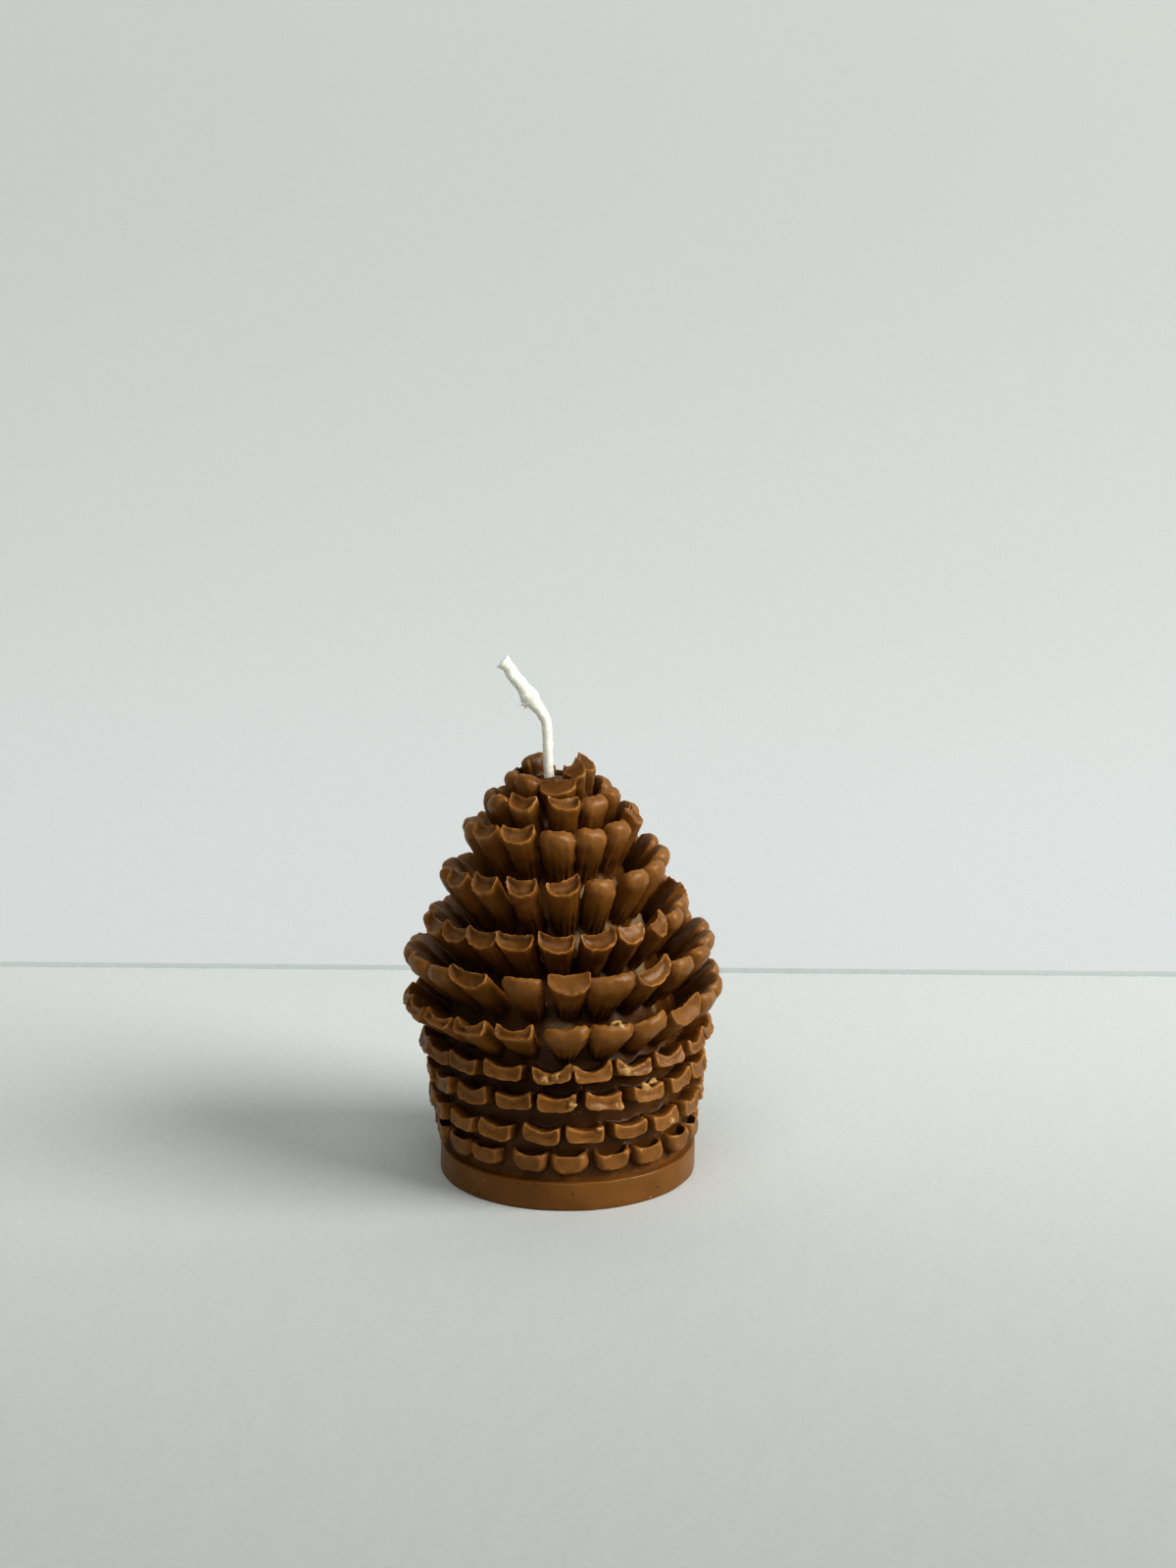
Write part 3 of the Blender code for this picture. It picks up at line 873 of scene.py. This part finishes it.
def make_wick():
    steps = ROUTE_STEPS * 2
    route = smooth_route(WICK_ROUTE, steps)
    wick = tube_along("wick_cord", route, radii_along(WICK_RADII, steps), 8)
    start_editing(wick, "FACE")
    ahead = (route[-1] - route[-2]).normalized()
    pick(wick, "FACE", lambda at, n: n.dot(ahead) > 0.95 and at.z > 88.0)
    bpy.ops.mesh.inset(thickness=0.3, depth=-0.35)
    stop_editing()
    fibres = lay_fibres()
    take(wick)
    for fibre in fibres:
        fibre.select_set(True)
    bpy.ops.object.join()
    finish_with(wick, "fuse", "REMESH", mode="VOXEL", voxel_size=WICK_VOXEL, adaptivity=0.0)
    finish_with(wick, "lumps", "DISPLACE", texture=cloud("knots", 1.5, 1), strength=0.27, mid_level=0.5)
    finish_with(wick, "fuzz", "DISPLACE", texture=cloud("fuzz", 0.35, 1), strength=0.06, mid_level=0.5)
    faces = sum(len(face.vertices) - 2 for face in wick.data.polygons)
    finish_with(wick, "thin", "DECIMATE", ratio=min(1.0, WICK_FACES / faces))
    keep_one_body(wick)
    return wick


wick = make_wick()
print("wick triangles", len(wick.data.polygons))

# %% [markdown]
# Down to metres
#
# The pieces were modelled a thousand times too large. They are shrunk in their meshes, so that the
# objects themselves stay at the origin, unturned and unscaled, and are shaded smooth.

# %% Where the core is bare, and the painted shade between the scales
def core_radius(height):
    for (low, start), (high, end) in zip(CORE_PROFILE, CORE_PROFILE[1:]):
        if height <= high:
            return blend(start, end, max(0.0, (height - low) / (high - low)))
    return CORE_PROFILE[-1][1]


# How far out from the core the painted shade reaches, low and high on the cone, in millimetres.
PAINTED_SHADE_REACH_LOW, PAINTED_SHADE_REACH_HIGH = 2.8, 6.0
PLINTH_SHADE = 0.3


def mark_bare_core(item, lowest, reach):
    """Store 1 on the points that lie on the core, fading to 0 within a reach, in millimetres."""
    values, inner = [], []
    for point in item.data.vertices:
        x, y, z = point.co
        out = math.hypot(x - lean_left(z), y) - core_radius(z)
        fade = 1.0 - smooth_share((out - 0.1) / reach)
        values.append(fade * smooth_share((z - lowest) / 2.0) if out > -1.0 else 0.0)
        # Painted shade: the deeper a point lies between the scales, the darker the material paints it; on
        # the plinth it stays at a fixed 0.3, which darkens the whole plinth evenly.
        high = smooth_share((z - lowest) / 8.0)
        depth = 1.0 - smooth_share(out / blend(PAINTED_SHADE_REACH_LOW, PAINTED_SHADE_REACH_HIGH, high))
        inner.append(depth if z > PLINTH_HEIGHT + 0.5 else PLINTH_SHADE)
    for name, stored in (("bare", values), ("inner", inner)):
        item.data.attributes.new(name, "FLOAT", "POINT").data.foreach_set("value", stored)
    print("points on bare core", sum(value > 0.5 for value in values))


def mark_crumbs(item, reach):
    """Store 1 on the points that lie on a crumb."""
    spots = np.empty(len(item.data.vertices) * 3, np.float32)
    item.data.vertices.foreach_get("co", spots)
    spots = spots.reshape(-1, 3)
    pale = np.zeros(len(spots), np.float32)
    for crumb in CRUMBS:
        far = np.linalg.norm(spots - np.array(crumb[:3], np.float32), axis=1)
        pale = np.maximum(pale, (far < crumb.size * reach).astype(np.float32))
    item.data.attributes.new("pale", "FLOAT", "POINT").data.foreach_set("value", pale)
    print("points on crumbs", int(pale.sum()))


mark_bare_core(wax, 26.5, 0.7)
mark_crumbs(wax, 1.8)

# %% Real size
SMOOTH_ANGLE = math.radians(50.0)


def to_metres(item):
    take(item)
    item.scale = (MM, MM, MM)
    bpy.ops.object.transform_apply(location=False, rotation=False, scale=True)
    bpy.ops.object.shade_smooth_by_angle(angle=SMOOTH_ANGLE)


for piece in (wax, wick):
    to_metres(piece)
    print(piece.name, "size in metres", [round(v, 4) for v in piece.dimensions])

# %% [markdown]
# Writing shader maths
#
# A material is a graph of nodes. A small class wraps one socket, so that sums and products of
# patterns can be written like any Python expression, and one method makes every other node.

# %% Sockets as numbers
class Signal:
    """A shader socket that works in expressions."""

    def __init__(self, material, socket):
        self.material = material
        self.socket = socket

    def math(self, operation, *others):
        values = {i: value for i, value in enumerate((self, *others))}
        return self.material.node("ShaderNodeMath", {"operation": operation}, values)

    def __add__(self, other):
        return self.math("ADD", other)

    __radd__ = __add__

    def __mul__(self, other):
        return self.math("MULTIPLY", other)

    __rmul__ = __mul__

    def __sub__(self, other):
        return self.math("SUBTRACT", other)

    def __rsub__(self, other):
        return (self * -1.0) + other

    def clamp(self):
        return self.math("MAXIMUM", 0.0).math("MINIMUM", 1.0)


class Finish:
    """A node material with a Principled shader."""

    def __init__(self, name):
        self.material = bpy.data.materials.new(name)
        self.material.use_nodes = True
        self.tree = self.material.node_tree
        self.shader = self.tree.nodes["Principled BSDF"]
        self.place = self.node("ShaderNodeTexCoord", {}, {}, "Object")
        self.x = self.node("ShaderNodeSeparateXYZ", {}, {"Vector": self.place}, "X")

    def node(self, kind, settings, values, output=0):
        """Any node: its settings are set first, then the values or links of its sockets."""
        made = self.tree.nodes.new(kind)
        for setting, value in settings.items():
            if setting == "stops":
                self.set_stops(made.color_ramp, value)
            else:
                setattr(made, setting, value)
        for socket, value in values.items():
            self.feed(made.inputs[socket], value)
        return Signal(self, made.outputs[output])

    def feed(self, socket, value):
        if isinstance(value, Signal):
            self.tree.links.new(value.socket, socket)
        else:
            socket.default_value = value

    @staticmethod
    def set_stops(ramp, stops):
        while len(ramp.elements) < len(stops):
            ramp.elements.new(0.5)
        for element, (at, colour) in zip(ramp.elements, stops):
            element.position = at
            element.color = colour

    def noise(self, scale, detail=2.0, roughness=0.5):
        values = {"Vector": self.place, "Scale": scale, "Detail": detail, "Roughness": roughness}
        return self.node("ShaderNodeTexNoise", {}, values, "Fac")

    def specks(self, scale, radius):
        """1 in small round spots strewn through space, 0 elsewhere. The radius is a share of a cell."""
        values = {"Vector": self.place, "Scale": scale}
        far = self.node("ShaderNodeTexVoronoi", {}, values, "Distance")
        return self.between(far, radius, radius * 0.6)

    def stored(self, name):
        """A value that was stored on the mesh's points."""
        return self.node("ShaderNodeAttribute", {"attribute_name": name}, {}, "Fac")

    def between(self, signal, low, high):
        """0 below low, 1 above high, smooth between them."""
        settings = {"interpolation_type": "SMOOTHSTEP"}
        values = {"Value": signal, "From Min": low, "From Max": high}
        return self.node("ShaderNodeMapRange", settings, values)

    def mix(self, share, first, second):
        values = {0: share, "A": first, "B": second}
        made = self.tree.nodes.new("ShaderNodeMix")
        made.data_type = "RGBA"
        for name, value in (("Factor_Float", share), ("A_Color", first), ("B_Color", second)):
            socket = next(s for s in made.inputs if s.identifier == name)
            self.feed(socket, value)
        return Signal(self, next(s for s in made.outputs if s.identifier == "Result_Color"))

    def bump(self, height, strength, distance):
        values = {"Height": height, "Strength": strength, "Distance": distance}
        return self.node("ShaderNodeBump", {}, values, "Normal")

    def set(self, **values):
        for name, value in values.items():
            self.feed(self.shader.inputs[name.replace("_", " ")], value)


# %% [markdown]
# Brown wax
#
# Wax is dense but lets light a millimetre or so under its skin, which warms the thin rims and the
# half shade. Light and shade are also painted into the brown: the stored relief paints the raised
# rims lighter, a painted highlight, and the inner corners darker, a painted shade, and points deep
# between the scales are painted darker too, as is each small pit. Where the core shows between the
# roots of the long scales, the wax has a dry pale bloom; it is painted only towards the right side,
# where the window light falls, so it is partly bloom and partly painted highlight.

# %% The wax finish
# The darkest brown is painted shade, for hollows, deep gaps and pits.
PAINTED_SHADE_BROWN = (0.045, 0.014, 0.001, 1.0)
BROWN = (0.195, 0.086, 0.017, 1.0)
LIGHT_BROWN = (0.245, 0.114, 0.028, 1.0)
# A painted highlight for the raised rims.
PAINTED_RIM_HIGHLIGHT = (0.44, 0.215, 0.055, 1.0)
# Pale bloom tone, partly real bloom and partly painted highlight.
BLOOM_AND_HIGHLIGHT = (0.34, 0.245, 0.145, 1.0)
CRUMB_TONE = (0.50, 0.33, 0.14, 1.0)


def wax_finish():
    finish = Finish("brown_wax")
    clouds = finish.noise(110.0, 3.0)
    fine = finish.noise(1100.0, 3.0)
    relief = finish.stored("relief")
    bare = finish.stored("bare")
    brown = finish.mix(finish.between(clouds, 0.35, 0.65), BROWN, LIGHT_BROWN)
    # Painted shade: hollows and inner corners, where the relief sinks, are darkened.
    brown = finish.mix(finish.between(relief, 0.0, -0.16) * 0.7, brown, PAINTED_SHADE_BROWN)
    # Painted shade: points deep between the scales are darkened.
    brown = finish.mix(finish.stored("inner") * 0.6, brown, PAINTED_SHADE_BROWN)
    # Painted highlight: raised rims are lightened.
    brown = finish.mix(finish.between(relief, 0.05, 0.20) * 0.65, brown, PAINTED_RIM_HIGHLIGHT)
    # Bloom on the bare core, partly real and partly painted highlight: it is painted only towards the
    # right, where the window light falls.
    lit_side_patches = finish.between(finish.noise(150.0, 1.0), 0.44, 0.60) * finish.between(finish.x, -0.012, 0.004)
    bloom_and_highlight = finish.between(bare * lit_side_patches + finish.noise(600.0, 4.0, 0.7) * 0.9, 0.85, 1.35)
    brown = finish.mix(bloom_and_highlight * 0.8, brown, BLOOM_AND_HIGHLIGHT)
    brown = finish.mix(finish.specks(300.0, 0.06) * 0.6, brown, CRUMB_TONE)
    brown = finish.mix(finish.stored("pale") * finish.between(fine, 0.3, 0.6), brown, CRUMB_TONE)
    # Small pits are bumped in and also darkened in colour, painted shade in them.
    pits = finish.specks(230.0, 0.09)
    finish.set(Base_Color=finish.mix(pits * 0.3, brown, PAINTED_SHADE_BROWN),
               Roughness=0.29 + 0.15 * fine + 0.3 * bloom_and_highlight,
               Normal=finish.bump(fine * 0.2 - pits, 0.6, 0.00015))
    shader = finish.shader
    shader.inputs["Subsurface Weight"].default_value = 0.10
    shader.inputs["Subsurface Radius"].default_value = (1.0, 0.35, 0.08)
    shader.inputs["Subsurface Scale"].default_value = 0.0010
    shader.inputs["IOR"].default_value = 1.44
    shader.inputs["Specular IOR Level"].default_value = 0.35
    return finish.material


def cotton_finish():
    finish = Finish("waxed_cotton")
    fuzz = finish.noise(2500.0, 3.0)
    white = finish.mix(fuzz, (0.78, 0.77, 0.67, 1.0), (0.90, 0.89, 0.81, 1.0))
    finish.set(Base_Color=white, Roughness=0.75, Normal=finish.bump(fuzz, 0.5, 0.00008))
    finish.shader.inputs["Subsurface Weight"].default_value = 0.25
    finish.shader.inputs["Subsurface Radius"].default_value = (1.0, 0.9, 0.8)
    finish.shader.inputs["Subsurface Scale"].default_value = 0.0008
    return finish.material


wax.data.materials.clear()
wax.data.materials.append(wax_finish())
wick.data.materials.clear()
wick.data.materials.append(cotton_finish())
for piece, node, slot in ((wax, "wax_body", "brown_wax"), (wick, "wick", "waxed_cotton")):
    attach(piece, "root")
    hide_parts(node)

# %% [markdown]
# Table, wall and light
#
# A pale table and a pale wall behind it are only the stage. The table ends where the photograph has
# its horizon. One large soft window light stands to the right, and the grey surroundings fill.

# %% The stage
TABLE_BACK = 0.119
WALL_BACK = 0.75
WALL_FOOT = -0.8
WALL_TOP = 2.4
STAGE_REACH = 2.6
TURNED = 0.03
EDGE_HEIGHT = 0.0012


def stage_plane(name, corners, near, far, along, glow):
    """A plane whose pale colour runs from one tone to another along an axis, and glows: painted light."""
    mesh = bpy.data.meshes.new(name)
    mesh.from_pydata(corners, [], [(0, 1, 2, 3)])
    plane = bpy.data.objects.new(name, mesh)
    bpy.context.scene.collection.objects.link(plane)
    finish = Finish(name)
    axis, low, high = along
    place = finish.node("ShaderNodeSeparateXYZ", {}, {"Vector": finish.place}, axis)
    tone = finish.mix(finish.between(place, low, high), near, far)
    tone = finish.mix(finish.between(finish.noise(900.0, 3.0, 0.7), 0.35, 0.7) * 0.10, tone, PAPER_SHADE)
    grain = finish.noise(160.0, 4.0)
    finish.set(Base_Color=tone, Roughness=0.85, Normal=finish.bump(grain, 0.25, 0.0006),
               Emission_Color=tone, Emission_Strength=glow)
    finish.shader.inputs["Specular IOR Level"].default_value = 0.2
    plane.data.materials.append(finish.material)
    return plane


PAPER_SHADE = (0.30, 0.31, 0.30, 1.0)
ROOM = (0.30, 0.31, 0.30, 1.0)


def upright(start, end, foot, top):
    """The corners of an upright plane over the line between two (x, y) places."""
    return ((*start, foot), (*end, foot), (*end, top), (*start, top))


R = STAGE_REACH
back = [(x, TABLE_BACK - TURNED * x) for x in (-R, R)]
# The table's colour is painted darker towards the front, a painted fall of light, and it glows faintly,
# painted light.
stage_plane("table", ((-R, -R, 0.0), (R, -R, 0.0), (*back[1], 0.0), (*back[0], 0.0)),
            (0.395, 0.405, 0.39, 1.0), (0.65, 0.67, 0.66, 1.0), ("Y", -0.25, 0.12), 0.02)
# A darker strip at the table's back edge paints the shadow line where table and wall meet; it glows a
# little.
stage_plane("table_edge_shadow_line", upright(*back, -EDGE_HEIGHT, EDGE_HEIGHT),
            (0.52, 0.56, 0.55, 1.0), (0.54, 0.58, 0.57, 1.0), ("Z", 0.0, EDGE_HEIGHT), 0.10)
# The wall glows strongly, painted light, and is painted darker upwards, a painted fall of light.
stage_plane("wall", upright((-R, WALL_BACK), (R, WALL_BACK), WALL_FOOT, WALL_TOP),
            (0.422, 0.436, 0.434, 1.0), (0.328, 0.340, 0.324, 1.0), ("Z", -0.19, 0.28), 0.80)
for name, start, end in (("left_wall", (-R, -R), (-R, WALL_BACK)), ("front_wall", (-R, -R), (R, -R)),
                         ("right_wall", (R, -R), (R, WALL_BACK))):
    stage_plane(name, upright(start, end, WALL_FOOT, WALL_TOP), ROOM, ROOM, ("Z", 0.0, 1.0), 0.05)


# %% Light
def soft_light(name, place, aim, size, power, colour):
    lamp = bpy.data.lights.new(name, "AREA")
    lamp.shape = "RECTANGLE"
    lamp.size, lamp.size_y = size
    lamp.energy = power
    lamp.color = colour
    light = bpy.data.objects.new(name, lamp)
    light.location = place
    light.rotation_euler = (Vector(aim) - Vector(place)).to_track_quat("-Z", "Y").to_euler()
    light.visible_camera = False
    bpy.context.scene.collection.objects.link(light)


soft_light("window", (2.0, -0.75, 1.3), (0.0, 0.0, 0.04), (1.7, 1.3), 54.0, (1.0, 0.985, 0.96))
soft_light("ceiling", (-0.1, -0.8, 1.4), (0.0, 0.0, 0.0), (1.2, 1.2), 7.5, (0.96, 0.98, 1.0))
soft_light("room", (-0.4, -1.2, 0.5), (0.0, 0.0, 0.04), (0.9, 0.9), 1.2, (0.97, 0.98, 1.0))
world = bpy.data.worlds.new("surroundings")
world.use_nodes = True
world.node_tree.nodes["Background"].inputs["Color"].default_value = (0.80, 0.83, 0.85, 1.0)
world.node_tree.nodes["Background"].inputs["Strength"].default_value = 0.03
bpy.context.scene.world = world
bpy.context.scene.view_settings.view_transform = "Standard"
bpy.context.scene.view_settings.look = "High Contrast"

# %% [markdown]
# The camera
#
# The camera looks slightly down, from about forty centimetres away. Its place and lens were fitted
# to the photograph by the plinth's ellipse.

# %% Camera
camera_data = bpy.data.cameras.new("camera")
camera_data.sensor_width = 36.0
camera_data.lens = 54.0
camera_data.clip_start = 0.01
camera = bpy.data.objects.new("camera", camera_data)
camera.location = (0.00358, -0.39544, 0.15297)
camera.rotation_euler = (math.radians(78.0), 0.0, 0.0)
bpy.context.scene.collection.objects.link(camera)
bpy.context.scene.camera = camera
